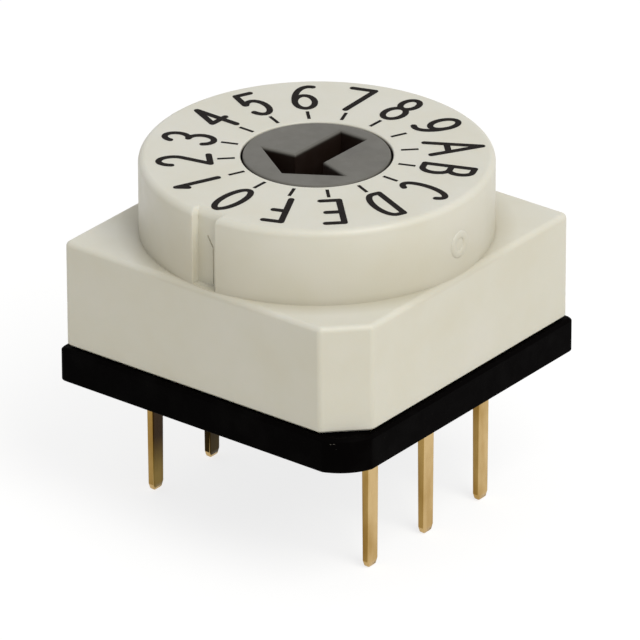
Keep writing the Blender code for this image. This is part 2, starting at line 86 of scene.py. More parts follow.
class Shade(Enum):
    """Surface colours as sRGB hex values."""

    CREAM = "#DCDACE"
    CREAM_WARM = "#DAD7C9"
    CREAM_COOL = "#DEDCD2"
    BLACK = "#040303"
    BLACK_DUSTY = "#080707"
    GREY = "#64625C"
    GREY_DARK = "#5E5C57"
    GREY_LIGHT = "#696761"
    # painted shade down in the rotor's slot and in the gap round the rotor
    SLOT_SHADE = "#1C110B"
    INK = "#15100E"
    INK_THIN = "#241E1B"
    GOLD = "#CDB07C"
    GOLD_DEEP = "#A98647"
    STEEL = "#B9BABC"
    AMBER = "#8A6F45"
    RUBBER = "#1B1B1C"
    # painted glints: pale flecks on the base's near corner
    GLINT = "#66635E"
    RESIN = "#17181A"
    # painted shade in the corner at the collar's foot, fading to white, which leaves a colour as it is
    CORNER_PAINTED_SHADE = "#DEDAD1"
    CORNER_SHADE_FADE = "#EAE7E0"
    UNSHADED = "#FFFFFF"
    SHEARED = "#CFC5A4"
    # painted shade on the pins under the body, from the tips to the roots, and on the inner faces
    UNDER_SHADE_TIP = "#A39E72"
    UNDER_SHADE_MIDDLE = "#4E4222"
    UNDER_SHADE_ROOT = "#4C401C"
    UNDER_SHADE_INNER = "#77735C"
    FLOOR = "#E6E1D4"


Stops = tuple[tuple[float, Shade], ...]


def linear(shade: Shade) -> tuple[float, float, float, float]:
    """Turn a shade's sRGB hex value into linear RGBA.

    Args:
        shade: The surface colour.

    Returns:
        The linear colour with full alpha.
    """
    values = [int(shade.value[index:index + 2], 16) / 255 for index in (1, 3, 5)]
    channels = [value / 12.92 if value <= 0.04045 else ((value + 0.055) / 1.055) ** 2.4 for value in values]
    return channels[0], channels[1], channels[2], 1.0


def feed(tree: Tree, socket: Socket, value: object) -> None:
    """Set an input to a value, or link it to a socket or to a node's first output in use.

    Args:
        tree: The node tree.
        socket: The input.
        value: The value, socket or node.
    """
    if isinstance(value, Node):
        value = next(output for output in value.outputs if output.enabled)
    if isinstance(value, Socket):
        tree.links.new(value, socket)
    else:
        socket.default_value = value


def add_node(tree: Tree, kind: str, settings: dict | None = None, *first: object, **named: object) -> Node:
    """Add a node with its settings, values and links.

    Args:
        tree: The node tree.
        kind: The node's type name.
        settings: Attributes of the node, and under "stops" the places and shades of a colour ramp.
        *first: What the first inputs get, in order.
        **named: What other inputs get, by name or identifier, with underscores for spaces.

    Returns:
        The new node.
    """
    node = tree.nodes.new(kind)
    for name, value in (settings or {}).items():
        if name == "stops":
            band = node.color_ramp.elements
            while len(band) < len(value):
                band.new(0.5)
            for element, (position, shade) in zip(band, value):
                element.position = position
                element.color = linear(shade)
        else:
            setattr(node, name, value)
    for socket, value in zip(node.inputs, first):
        feed(tree, socket, value)
    for name, value in named.items():
        socket = node.inputs.get(name.replace("_", " "))
        if socket is None:
            socket = next(entry for entry in node.inputs if entry.identifier == name)
        feed(tree, socket, value)
    return node


def millimetres(tree: Tree) -> Node:
    """Give Object coordinates in millimetres."""
    place_in = add_node(tree, "ShaderNodeTexCoord").outputs["Object"]
    return add_node(tree, "ShaderNodeMapping", None, place_in, Scale=(1 / MM, 1 / MM, 1 / MM))


def axis_distance(tree: Tree, where: Node) -> Node:
    """Give the distance from the rotor's axis."""
    plan = add_node(tree, "ShaderNodeVectorMath", {"operation": "MULTIPLY"}, where, (1, 1, 0))
    return add_node(tree, "ShaderNodeVectorMath", {"operation": "LENGTH"}, plan)


def seen(tree: Tree) -> Node:
    """Tell the rays that show the background from the rays that light the switch.

    Args:
        tree: The node tree.

    Returns:
        A node that gives 1 for camera, glossy and transmission rays, and 0 for the rest.
    """
    path = add_node(tree, "ShaderNodeLightPath").outputs
    bright = add_node(tree, "ShaderNodeMath", {"operation": "MAXIMUM"}, path["Is Camera Ray"],
                      path["Is Transmission Ray"])
    return add_node(tree, "ShaderNodeMath", {"operation": "MAXIMUM"}, bright, path["Is Glossy Ray"])


@dataclass(frozen=True)
class Finish:
    """A procedural finish, whose patterns lie on Object coordinates."""

    name: str
    roughness: float
    ior: float = 1.5
    metallic: float = 0.0
    specular: float = 0.5

    def build(self) -> Material:
        """Make the material.

        Returns:
            The finished material.
        """
        made = bpy.data.materials.new(self.name)
        made.use_nodes = True
        self.fill(made.node_tree)
        return made

    def fill(self, tree: Tree) -> None:
        """Fill the material's tree: each finish does it in its own way."""
        raise NotImplementedError(self.name)

    def close(self, tree: Tree, colour: Node, layers: Iterable[tuple[Node, float]] = (),
              gloss: Node | None = None, spread: Point = (0.0, 0.0),
              more: dict[str, object] | None = None) -> None:
        """Link the colour, the roughness and the bump to the shader.

        Args:
            tree: The material's tree.
            colour: The surface colour.
            layers: Heights for the bump, each with its depth in millimetres.
            gloss: Noise that makes the roughness uneven.
            spread: What the noise's lows, at 0.3, and highs, at 0.7, add to the roughness.
            more: Other inputs of the shader, by name.
        """
        inputs = {"Base Color": colour, "Roughness": self.roughness, "IOR": self.ior,
                  "Metallic": self.metallic, "Specular IOR Level": self.specular, **(more or {})}
        if gloss is not None:
            low, high = (self.roughness + change for change in spread)
            inputs["Roughness"] = add_node(tree, "ShaderNodeMapRange", None, gloss, From_Min=0.3,
                                           From_Max=0.7, To_Min=low, To_Max=high)
        for height, depth in layers:
            bump = add_node(tree, "ShaderNodeBump", None, Height=height, Strength=1.0, Distance=depth * MM)
            if "Normal" in inputs:
                feed(tree, bump.inputs["Normal"], inputs["Normal"])
            inputs["Normal"] = bump
        shader = tree.nodes["Principled BSDF"]
        for name, value in inputs.items():
            feed(tree, shader.inputs[name], value)


@dataclass(frozen=True)
class CornerShade:
    """Painted shade in the corner between a round wall and the flat at its foot, which dulls it softly.

    It reaches a distance up the wall. On the flat it fades flat_rate times as fast, and under the
    flat's level below_rate times as fast.
    """

    radius: float
    level: float
    reach: float = 1.9
    flat_rate: float = 3.0
    below_rate: float = 8.0
    stops: Stops = ((0.0, Shade.CORNER_PAINTED_SHADE), (0.12, Shade.CORNER_SHADE_FADE), (1.0, Shade.UNSHADED))

    def tint(self, tree: Tree, where: Node, colour: Node) -> Node:
        """Darken and warm a colour towards the corner, as painted shade.

        Args:
            tree: The material's tree.
            where: Object coordinates in millimetres.
            colour: The colour to tint.

        Returns:
            The tinted colour.
        """
        level = add_node(tree, "ShaderNodeSeparateXYZ", None, where).outputs["Z"]
        out = add_node(tree, "ShaderNodeMath", {"operation": "SUBTRACT"}, axis_distance(tree, where),
                       self.radius)
        flat = add_node(tree, "ShaderNodeMath", {"operation": "MULTIPLY"}, out, self.flat_rate)
        rise = add_node(tree, "ShaderNodeMath", {"operation": "SUBTRACT"}, level, self.level)
        drop = add_node(tree, "ShaderNodeMath", {"operation": "MULTIPLY"}, rise, -self.below_rate)
        height = add_node(tree, "ShaderNodeMath", {"operation": "MAXIMUM"}, rise, drop)
        gap = add_node(tree, "ShaderNodeCombineXYZ", None, flat, height)
        length = add_node(tree, "ShaderNodeVectorMath", {"operation": "LENGTH"}, gap)
        share = add_node(tree, "ShaderNodeMath", {"operation": "DIVIDE"}, length, self.reach)
        painted_shade = add_node(tree, "ShaderNodeValToRGB", {"stops": self.stops}, share)
        return add_node(tree, "ShaderNodeMix", {"data_type": "RGBA", "blend_type": "MULTIPLY"}, 1.0,
                        A_Color=colour, B_Color=painted_shade)


@dataclass(frozen=True)
class MouldedThermoplastic(Finish):
    """Injection-moulded PBT or nylon with a spark-eroded mould grain: satin, never quite even.

    The recess shade is painted shade: it lies below the recess shade levels and within its reach of the
    rotor's axis. The glint spot is a place with pale flecks round it, painted glints. A real mould grain is
    about 0.03 mm wide, too fine to show, so it is drawn twice as coarse.
    """

    base: Shade = Shade.CREAM
    low: Shade = Shade.CREAM_WARM
    high: Shade = Shade.CREAM_COOL
    cloud_size: float = 2.2
    grain_size: float = 0.06
    grain_depth: float = 0.0016
    wave_size: float = 1.4
    wave_depth: float = 0.006
    gloss_size: float = 0.35
    gloss_spread: Point = (-0.06, 0.06)
    glow: float = 0.0
    glow_depth: float = 0.25
    recess_shade: Shade | None = None
    recess_shade_levels: Point = (0.0, 1.0)
    recess_shade_reach: float = 100.0
    corner: CornerShade | None = None
    glint_spot: Triple | None = None
    glint_reach: float = 0.4
    fleck_size: float = 0.07
    fleck_stretch: Triple = (0.5, 0.5, 1.6)
    fleck_limits: Point = (0.6, 1.0)

    def fill(self, tree: Tree) -> None:
        """Fill the material's tree.

        Args:
            tree: The tree.
        """
        where = millimetres(tree)
        scales = ((self.cloud_size, 4.0), (self.grain_size, 2.0), (self.wave_size, 1.0),
                  (self.gloss_size, 3.0))
        cloud, grain, wave, gloss = (
            add_node(tree, "ShaderNodeTexNoise", None, where, Scale=1 / size, Detail=detail)
            for size, detail in scales)
        stops = ((0.32, self.low), (0.5, self.base), (0.68, self.high))
        colour = add_node(tree, "ShaderNodeValToRGB", {"stops": stops}, cloud)
        # painted shade, darker below the levels and near the axis, in the slot and the gap round the rotor
        if self.recess_shade:
            level = add_node(tree, "ShaderNodeSeparateXYZ", None, where).outputs["Z"]
            unshaded_share = add_node(tree, "ShaderNodeMapRange", None, level, From_Min=self.recess_shade_levels[0],
                             From_Max=self.recess_shade_levels[1])
            far = add_node(tree, "ShaderNodeMath", {"operation": "GREATER_THAN"}, axis_distance(tree, where),
                           self.recess_shade_reach)
            share = add_node(tree, "ShaderNodeMath", {"operation": "MAXIMUM"}, unshaded_share, far)
            colour = add_node(tree, "ShaderNodeMix", {"data_type": "RGBA"}, share, A_Color=linear(self.recess_shade),
                              B_Color=colour)
        # painted shade in the corner at the collar's foot
        if self.corner:
            colour = self.corner.tint(tree, where, colour)
        # painted glints: pale flecks round the glint spot
        if self.glint_spot:
            away = add_node(tree, "ShaderNodeVectorMath", {"operation": "DISTANCE"}, where, self.glint_spot)
            limit = add_node(tree, "ShaderNodeMapRange", None, away, From_Max=self.glint_reach,
                             To_Min=self.fleck_limits[0], To_Max=self.fleck_limits[1])
            drawn = add_node(tree, "ShaderNodeMapping", None, where, Scale=self.fleck_stretch)
            flecks = add_node(tree, "ShaderNodeTexNoise", None, drawn, Scale=1 / self.fleck_size, Detail=1.0)
            glinting = add_node(tree, "ShaderNodeMath", {"operation": "GREATER_THAN"}, flecks, limit)
            colour = add_node(tree, "ShaderNodeMix", {"data_type": "RGBA"}, glinting, A_Color=colour,
                              B_Color=linear(Shade.GLINT))
        through = {"Subsurface Weight": self.glow, "Subsurface Radius": (1.0, 0.8, 0.6),
                   "Subsurface Scale": self.glow_depth * MM}
        layers = ((grain, self.grain_depth), (wave, self.wave_depth))
        self.close(tree, colour, layers, gloss, self.gloss_spread, through if self.glow else None)


@dataclass(frozen=True)
class PinTarnishAndShade:
    """Thin plating: olive on the sheared sides. Painted shade, brown, where one row faces in under the body.

    side is how far from a pin's middle its sheared side starts. Past the first X of row, a face of the
    shaded row looks inwards, and at the second that row ends. The under_shade stops, painted shade,
    run from the pins' tips to their roots.
    """

    pitch: float = 2.54
    side: float = 0.222
    row: Point = (-3.72, -3.6)
    length: float = 4.05
    sheared: Shade = Shade.SHEARED
    under_shade: Stops = ((0.12, Shade.UNDER_SHADE_TIP), (0.42, Shade.UNDER_SHADE_MIDDLE), (0.9, Shade.UNDER_SHADE_ROOT))
    inner: Shade = Shade.UNDER_SHADE_INNER

    def tint(self, tree: Tree, where: Node, colour: Node) -> Node:
        """Tint a plating colour by its place on the pins.

        Args:
            tree: The material's tree.
            where: Object coordinates in millimetres.
            colour: The colour to tint.

        Returns:
            The tinted colour.
        """
        shares = dict(zip("xyz", add_node(tree, "ShaderNodeSeparateXYZ", None, where).outputs))
        half = self.pitch / 2
        steps = (("along", "WRAP", "y", half, -half),
                 ("off", "ABSOLUTE", "along"),
                 ("sheared", "GREATER_THAN", "off", self.side),
                 ("inner", "GREATER_THAN", "y", -half),
                 ("near", "LESS_THAN", "along", -self.side),
                 ("near_side", "MULTIPLY", "inner", "near"),
                 ("inwards", "GREATER_THAN", "x", self.row[0]),
                 ("faces", "MAXIMUM", "inwards", "near_side"),
                 ("in_row", "LESS_THAN", "x", self.row[1]),
                 ("brown", "MULTIPLY", "faces", "in_row"),
                 ("down", "DIVIDE", "z", self.length),
                 ("height", "ADD", "down", 1.0),
                 ("inner_brown", "MULTIPLY", "brown", "inner"))
        for name, operation, *values in steps:
            values = [shares.get(value, value) for value in values]
            shares[name] = add_node(tree, "ShaderNodeMath", {"operation": operation}, *values)
        # painted shade under the body, darker towards the roots
        under_shade = add_node(tree, "ShaderNodeValToRGB", {"stops": self.under_shade}, shares["height"])
        layers = (("sheared", linear(self.sheared)), ("brown", under_shade), ("inner_brown", linear(self.inner)))
        for name, tone in layers:
            colour = add_node(tree, "ShaderNodeMix", {"data_type": "RGBA", "blend_type": "MULTIPLY"},
                              shares[name], A_Color=colour, B_Color=tone)
        return colour


@dataclass(frozen=True)
class PlatedStrip(Finish):
    """Copper alloy strip, stamped and gold plated: drawn lines along it and a redder tone in the lows.

    Real rolling lines are about 0.02 mm apart, too fine to show, so they are drawn at 0.05.
    """

    line_size: float = 0.05
    line_stretch: Triple = (1.0, 1.0, 0.04)
    line_depth: float = 0.0012
    blotch_size: float = 0.7
    blotch_stretch: Triple = (1.0, 1.0, 0.35)
    gloss_spread: Point = (-0.05, 0.1)
    light: Shade = Shade.GOLD
    deep: Shade = Shade.GOLD_DEEP
    tarnish_and_shade: PinTarnishAndShade | None = None

    def fill(self, tree: Tree) -> None:
        """Fill the material's tree.

        Args:
            tree: The tree.
        """
        where = millimetres(tree)
        scales = ((self.line_size, 2.0, self.line_stretch), (self.blotch_size, 3.0, self.blotch_stretch))
        lines, blotch = (
            add_node(tree, "ShaderNodeTexNoise", None,
                     add_node(tree, "ShaderNodeMapping", None, where, Scale=stretch),
                     Scale=1 / size, Detail=detail)
            for size, detail, stretch in scales)
        stops = ((0.3, self.deep), (0.62, self.light))
        colour = add_node(tree, "ShaderNodeValToRGB", {"stops": stops}, blotch)
        if self.tarnish_and_shade:
            colour = self.tarnish_and_shade.tint(tree, where, colour)
        self.close(tree, colour, ((lines, self.line_depth),), lines, self.gloss_spread)


@dataclass(frozen=True)
class PrintedInk(Finish):
    """Pad-printed ink: a thin dull film, a little lighter where it is thin."""

    blot_size: float = 0.12
    blot_depth: float = 0.002

    def fill(self, tree: Tree) -> None:
        """Fill the material's tree.

        Args:
            tree: The tree.
        """
        film = add_node(tree, "ShaderNodeTexNoise", None, millimetres(tree), Scale=1 / self.blot_size,
                        Detail=4.0)
        stops = ((0.55, Shade.INK), (0.8, Shade.INK_THIN))
        colour = add_node(tree, "ShaderNodeValToRGB", {"stops": stops}, film)
        self.close(tree, colour, ((film, self.blot_depth),))


@dataclass(frozen=True)
class FloorPaint(Finish):
    """Matt pale paint, which shows white to the camera, also through metal and glass."""

    glow: float = 0.78
    grey: float = 0.3

    def fill(self, tree: Tree) -> None:
        """Fill the material's tree.

        Args:
            tree: The tree.
        """
        share = seen(tree)
        colour = add_node(tree, "ShaderNodeMix", {"data_type": "RGBA"}, share, A_Color=linear(Shade.FLOOR),
                          B_Color=(self.grey, self.grey, self.grey, 1.0))
        glow = add_node(tree, "ShaderNodeMath", {"operation": "MULTIPLY"}, share, self.glow)
        self.close(tree, colour, more={"Emission Color": (1, 1, 1, 1), "Emission Strength": glow})


def add_object(name: str, data: bpy.types.ID) -> Piece:
    """Put a new object into the scene.

    Args:
        name: The object's name.
        data: Its mesh, lamp or camera.

    Returns:
        The object at the origin.
    """
    made = bpy.data.objects.new(name, data)
    bpy.context.scene.collection.objects.link(made)
    return made


def to_object(name: str, shape: bmesh.types.BMesh) -> Piece:
    """Turn a mesh in the making, in metres, into an object.

    Args:
        name: The object's name.
        shape: The mesh, which is freed.

    Returns:
        The object at the origin.
    """
    data = bpy.data.meshes.new(name)
    shape.to_mesh(data)
    shape.free()
    return add_object(name, data)


def dress(target: Piece, finish: Material) -> None:
    """Give an object one finish all over."""
    target.data.materials.clear()
    target.data.materials.append(finish)


def bake(target: Piece) -> None:
    """Turn an object's evaluated modifiers into its own plain mesh.

    Args:
        target: The object, which keeps its place.
    """
    graph = bpy.context.evaluated_depsgraph_get()
    graph.update()
    plain = bpy.data.meshes.new_from_object(target.evaluated_get(graph))
    target.modifiers.clear()
    target.data = plain


def polar(radius: float, degrees: float) -> Point:
    """Give the point at a radius and a direction in the plan."""
    return radius * math.cos(math.radians(degrees)), radius * math.sin(math.radians(degrees))


def arc(centre: Point, radius_x: float, radius_y: float, start: float, end: float, steps: int) -> Outline:
    """Points along an elliptic arc, both ends included.

    Args:
        centre: Middle of the ellipse.
        radius_x: Reach along X.
        radius_y: Reach along Y.
        start: First direction in degrees.
        end: Last direction in degrees.
        steps: Straight steps along the arc.

    Returns:
        The points in order.
    """
    points = []
    for step in range(steps + 1):
        x, y = polar(1, start + (end - start) * step / steps)
        points.append((centre[0] + radius_x * x, centre[1] + radius_y * y))
    return points


@dataclass
class Solid:
    """A closed mesh in the making, in millimetres."""

    mesh: bmesh.types.BMesh = field(default_factory=bmesh.new)

    def ring(self, outline: Iterable[Point], z: float) -> list[bmesh.types.BMVert]:
        """Add a ring of points at a level.

        Args:
            outline: The plan outline.
            z: The level.

        Returns:
            The new vertices.
        """
        return [self.mesh.verts.new((x, y, z)) for x, y in outline]

    def bridge(self, lower: Sequence[bmesh.types.BMVert], upper: Sequence[bmesh.types.BMVert]) -> None:
        """Join two rings of as many points with quads.

        Args:
            lower: The lower ring.
            upper: The upper ring.
        """
        for index in range(len(lower)):
            following = (index + 1) % len(lower)
            self.mesh.faces.new((lower[index], lower[following], upper[following], upper[index]))

    def loft(self, levels: Sequence[tuple[float, Outline]]) -> Solid:
        """Close a solid through outlines at rising levels.

        Args:
            levels: Each level with its outline.

        Returns:
            This solid.
        """
        rings = [self.ring(outline, z) for z, outline in levels]
        for lower, upper in zip(rings, rings[1:]):
            self.bridge(lower, upper)
        self.mesh.faces.new(list(reversed(rings[0])))
        self.mesh.faces.new(rings[-1])
        return self

    def turned(self, profile: Sequence[Point], segments: int, closed: bool = False) -> Solid:
        """Turn a profile of (radius, level) points about Z.

        Args:
            profile: The points, whose first and last lie on the axis unless the profile is closed.
            segments: Steps round the axis.
            closed: Whether the profile is a loop clear of the axis.

        Returns:
            This solid.
        """
        inner = profile if closed else profile[1:-1]
        rings = [self.ring([polar(radius, 360 * step / segments) for step in range(segments)], z)
                 for radius, z in inner]
        for lower, upper in zip(rings, rings[1:]):
            self.bridge(lower, upper)
        if closed:
            self.bridge(rings[-1], rings[0])
        else:
            self.mesh.faces.new(list(reversed(rings[0])))
            self.mesh.faces.new(rings[-1])
        return self

    def box(self, centre: Sequence[float], size: Sequence[float], turn: float = 0.0) -> Solid:
        """Add a box.

        Args:
            centre: Its centre.
            size: Its size.
            turn: Degrees that it and its centre are turned about Z.

        Returns:
            This solid.
        """
        matrix = Matrix.Rotation(math.radians(turn), 4, "Z") @ Matrix.Translation(centre)
        matrix = matrix @ Matrix.Diagonal((*size, 1.0))
        bmesh.ops.create_cube(self.mesh, size=1.0, matrix=matrix)
        return self

    def make(self, name: str) -> Piece:
        """Turn the solid into an object in metres.

        Args:
            name: The object's name.

        Returns:
            The object at the origin.
        """
        bmesh.ops.recalc_face_normals(self.mesh, faces=self.mesh.faces)
        self.mesh.transform(Matrix.Scale(MM, 4))
        return to_object(name, self.mesh)


def combine(target: Piece, joining: Joining, tools: Sequence[Piece]) -> None:
    """Join tool shapes on or cut them off in order, and delete them.

    Args:
        target: The object that stays.
        joining: What the tool shapes do.
        tools: The tool shapes.
    """
    for tool in tools:
        step = target.modifiers.new(tool.name, "BOOLEAN")
        step.operation = joining.value
        step.object = tool
    bake(target)
    for tool in tools:
        bpy.data.objects.remove(tool)


def soften(target: Piece, width: float, angle: float = 35.0, segments: int = 3) -> None:
    """Round the sharp edges and shade the rest smooth, as on a moulded or stamped piece.

    Args:
        target: The object.
        width: Width of the rounding in millimetres.
        angle: Edges sharper than this many degrees are rounded.
        segments: Steps across the rounding.
    """
    round_off = target.modifiers.new("edge", "BEVEL")
    round_off.limit_method = "ANGLE"
    round_off.angle_limit = math.radians(angle)
    round_off.width = width * MM
    round_off.segments = segments
    bake(target)
    smooth(target)


def smooth(target: Piece, angle: float = 40.0) -> None:
    """Shade an object smooth up to an angle, with its flat faces kept flat.

    Args:
        target: The object.
        angle: Edges sharper than this many degrees stay sharp.
    """
    target.data.shade_smooth()
    target.data.set_sharp_from_angle(angle=math.radians(angle))
    weigh = target.modifiers.new("flat", "WEIGHTED_NORMAL")
    weigh.keep_sharp = True


def place(piece: Piece, body: Body, slot: str, *nodes: str) -> None:
    """Put a finished piece on its body, in place of its nodes.

    Args:
        piece: The finished piece.
        body: The body that it rides on.
        slot: The record's material slot; not used.
        *nodes: The nodes that it stands for.
    """
    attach(piece, body.value)
    if nodes:
        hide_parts(*nodes)
    LOG.info("%s: %d faces", piece.name, len(piece.data.polygons))


@dataclass
class SquareOutline:
    """Plan outline of a square: its near corner is cut straight or bowed, the others are rounded."""

    half: float
    near: float
    near_radius: float
    corner: float
    bowed: bool = True
    steps: int = 8
    least: float = 0.02

    def near_corner(self, inset: float) -> Outline:
        """Give the near corner's points, from the -Y side to the +X side.

        Args:
            inset: Distance inwards.

        Returns:
            The points in order.
        """
        if self.bowed:
            centre = self.half - self.near
            radius = self.near_radius - inset
            lean = math.degrees(math.asin((self.near - inset) / radius))
            return arc((centre, -centre), radius, radius, -lean, lean - 90, 2 * self.steps)
        half = self.half - inset
        radius = max(self.near_radius - inset, self.least)
        reach = half - (self.near - inset * (2 - math.sqrt(2))) - radius * math.tan(math.pi / 8)
        return (arc((reach, radius - half), radius, radius, -90, -45, self.steps)
                + arc((half - radius, -reach), radius, radius, -45, 0, self.steps))

    def at(self, inset: float) -> Outline:
        """Give the outline drawn in by an inset, from the near corner on.

        Args:
            inset: Distance inwards.

        Returns:
            The points in order.
        """
        radius = max(self.corner - inset, self.least)
        centre = self.half - inset - radius
        points = self.near_corner(inset)
        for index, (side_x, side_y) in enumerate(((1, 1), (-1, 1), (-1, -1))):
            points += arc((side_x * centre, side_y * centre), radius, radius, 90 * index, 90 * index + 90,
                          self.steps)
        return points

    def rounded_top(self, top: float, radius: float, steps: int = 6) -> list[tuple[float, Outline]]:
        """Give the levels of a rounded upper edge.

        Args:
            top: Level of the top face.
            radius: Radius of the edge.
            steps: Steps round the edge.

        Returns:
            The levels with their outlines.
        """
        levels = []
        for step in range(steps + 1):
            x, y = polar(radius, 90 * step / steps)
            levels.append((top - radius + y, self.at(radius - x)))
        return levels


@dataclass
class Housing:
    """The cream moulded cover with its collar, index groove and gate mark.

    Each slit in the groove's back, the hairline flaw and the slit cut to darken a line of shade, is given by
    its X, level, length, lean in degrees and width.
    """

    side: float = 10.0
    corner_cut: float = 1.05
    cut_radius: float = 0.25
    corner: float = 0.18
    edge: float = 0.03
    bottom: float = 1.07
    seam: float = 0.08
    shoulder: float = 4.29
    shoulder_edge: float = 0.16
    collar: float = 4.95
    top: float = 6.52
    rim: float = 0.2
    bore: float = 2.12
    bore_lip: float = 0.05
    groove_width: float = 0.81
    groove_depth: float = 0.28
    groove_lip: Point = (0.25, 0.1)
    # the second slit is cut where only shade falls, by the hidden right wall, to darken that line
    flaw_and_shade_slits: tuple[tuple[float, ...], ...] = ((-0.06, 5.61, 0.36, -31.0, 0.055), (0.045, 4.9, 1.14, 0.0, 0.032))
    index_turn: float = -1.0
    gate: Triple = (4.925, 0.0, 5.21)
    gate_reach: Point = (0.26, 0.29)
    gate_bead: Point = (0.12, 0.06)
    cavity_radius: float = 4.25
    cavity_half: float = 4.2
    cavity_corner: float = 0.5
    roof: float = 5.72
    square_roof: float = 3.49
    rib: Triple = (0.35, 0.3, 4.4)
    rib_directions: tuple[float, ...] = (0.3, 89.7, 180.3, 269.7)
    segments: int = 256
    bore_segments: int = 128
    bead_segments: int = 64
    rim_steps: int = 10
    lip_steps: int = 5
    below: float = 0.01
    overlap: float = 0.2

    def block(self) -> Piece:
        """Make the square block with its collar.

        Returns:
            The block.
        """
        plan = SquareOutline(self.side / 2, self.corner_cut, self.cut_radius, self.corner, bowed=False)
        levels = [(self.bottom, plan.at(self.seam)), (self.bottom + self.seam, plan.at(0))]
        levels += plan.rounded_top(self.shoulder, self.shoulder_edge)
        made = Solid().loft(levels).make("housing_shell")
        rim = arc((self.collar - self.rim, self.top - self.rim), self.rim, self.rim, 0, 90, self.rim_steps)
        foot = self.shoulder - 2 * self.overlap
        profile = [(0, foot), (self.collar, foot), *rim, (0, self.top)]
        combine(made, Joining.ADD, [Solid().turned(profile, self.segments).make("collar_shape")])
        return made

    def groove(self) -> Solid:
        """Make the shape of the index groove, deeper and wider at its rounded upper end.

        Returns:
            The shape.
        """
        levels = [(self.shoulder - self.below, 0.0, 0.0)]
        for step in range(self.lip_steps + 1):
            x, y = polar(1, 90 * step / self.lip_steps)
            deeper, wider = (size * (1 - x) for size in self.groove_lip)
            levels.append((self.top - self.groove_lip[0] * (1 - y), deeper, wider))
        levels.append((self.top + self.overlap, *self.groove_lip))
        outside = -self.collar - self.overlap
        outlines = []
        for z, deeper, wider in levels:
            half = self.groove_width / 2 + wider
            inside = self.groove_depth + deeper - self.collar
            outlines.append((z, [(-half, outside), (half, outside), (half, inside), (-half, inside)]))
        made = Solid().loft(outlines)
        made.mesh.transform(Matrix.Rotation(math.radians(self.index_turn), 4, "Z"))
        return made

    def groove_flaw_and_shade_slits(self) -> list[Solid]:
        """Make the shapes of the hairline flaw and of the slit that darkens a line of shade in the groove's
        back.

        Returns:
            The shapes.
        """
        shapes = []
        for x, z, length, lean, width in self.flaw_and_shade_slits:
            lie = Matrix.Translation((x, self.groove_depth - self.collar, z))
            lie = lie @ Matrix.Rotation(math.radians(lean), 4, "Y")
            shape = Solid().box((0, 0, 0), (width, 2 * width, length))
            shape.mesh.transform(lie)
            shapes.append(shape)
        return shapes

    def cutters(self) -> list[Piece]:
        """Make the shapes of the groove, the bore, the cavities, the flaw and the shade slit.

        Returns:
            The shapes, each an object of its own.
        """
        mouth = self.bore + self.bore_lip
        above = self.top + self.overlap
        lip = arc((mouth, self.top - self.bore_lip), self.bore_lip, self.bore_lip, 180, 90, self.lip_steps)
        foot = self.roof - self.overlap
        bore = Solid().turned([(0, foot), (self.bore, foot), *lip, (mouth, above), (0, above)],
                              self.bore_segments)
        foot = self.square_roof - self.overlap
        cavity = Solid().turned([(0, foot), (self.cavity_radius, foot), (self.cavity_radius, self.roof),
                                 (0, self.roof)], self.bore_segments)
        corner = self.cavity_corner
        shape = SquareOutline(self.cavity_half, corner, corner, corner).at(0)
        square = Solid().loft([(self.bottom - self.overlap, shape), (self.square_roof, shape)])
        return [solid.make("housing_cutter")
                for solid in (self.groove(), bore, cavity, square, *self.groove_flaw_and_shade_slits())]

    def ribs(self) -> Piece:
        """Make the four ribs that hold the leaf springs' ends.

        Returns:
            The ribs.
        """
        made = Solid()
        deep, wide, foot = self.rib
        length = deep + self.overlap
        centre = (self.cavity_radius - deep + length / 2, 0, (foot + self.roof + self.overlap) / 2)
        for direction in self.rib_directions:
            made.box(centre, (length, wide, self.roof + self.overlap - foot), direction)
        return made.make("rib_shape")

    def gate_mark(self) -> Piece:
        """Make the soft oval bead that the gate left on the collar's side.

        Returns:
            The bead.
        """
        made = Solid()
        mean = sum(self.gate_reach) / 2
        made.turned(arc((mean, 0), *self.gate_bead, 0, 345, 23), self.bead_segments, closed=True)
        squeeze = Matrix.Diagonal((self.gate_reach[1] / mean, self.gate_reach[0] / mean, 1.0, 1.0))
        made.mesh.transform(Matrix.Translation(self.gate) @ Matrix.Rotation(math.pi / 2, 4, "Y") @ squeeze)
        return made.make("gate_bead")

    def build(self) -> None:
        """Make and dress the housing."""
        made = self.block()
        combine(made, Joining.CUT, self.cutters())
        combine(made, Joining.ADD, [self.ribs()])
        # the cream gets painted shade in the gap round the rotor and in the corner at the collar's foot
        finish = MouldedThermoplastic("moulded_cream_pbt", 0.42, 1.52, glow=0.15, recess_shade=Shade.SLOT_SHADE,
                                      recess_shade_levels=(6.4, 6.49), recess_shade_reach=2.3,
                                      corner=CornerShade(self.collar, self.shoulder)).build()
        dress(made, finish)
        soften(made, self.edge)
        place(made, Body.SWITCH, "cream_plastic", "housing")
        bead = self.gate_mark()
        dress(bead, finish)
        smooth(bead)
        place(bead, Body.SWITCH, "cream_plastic")


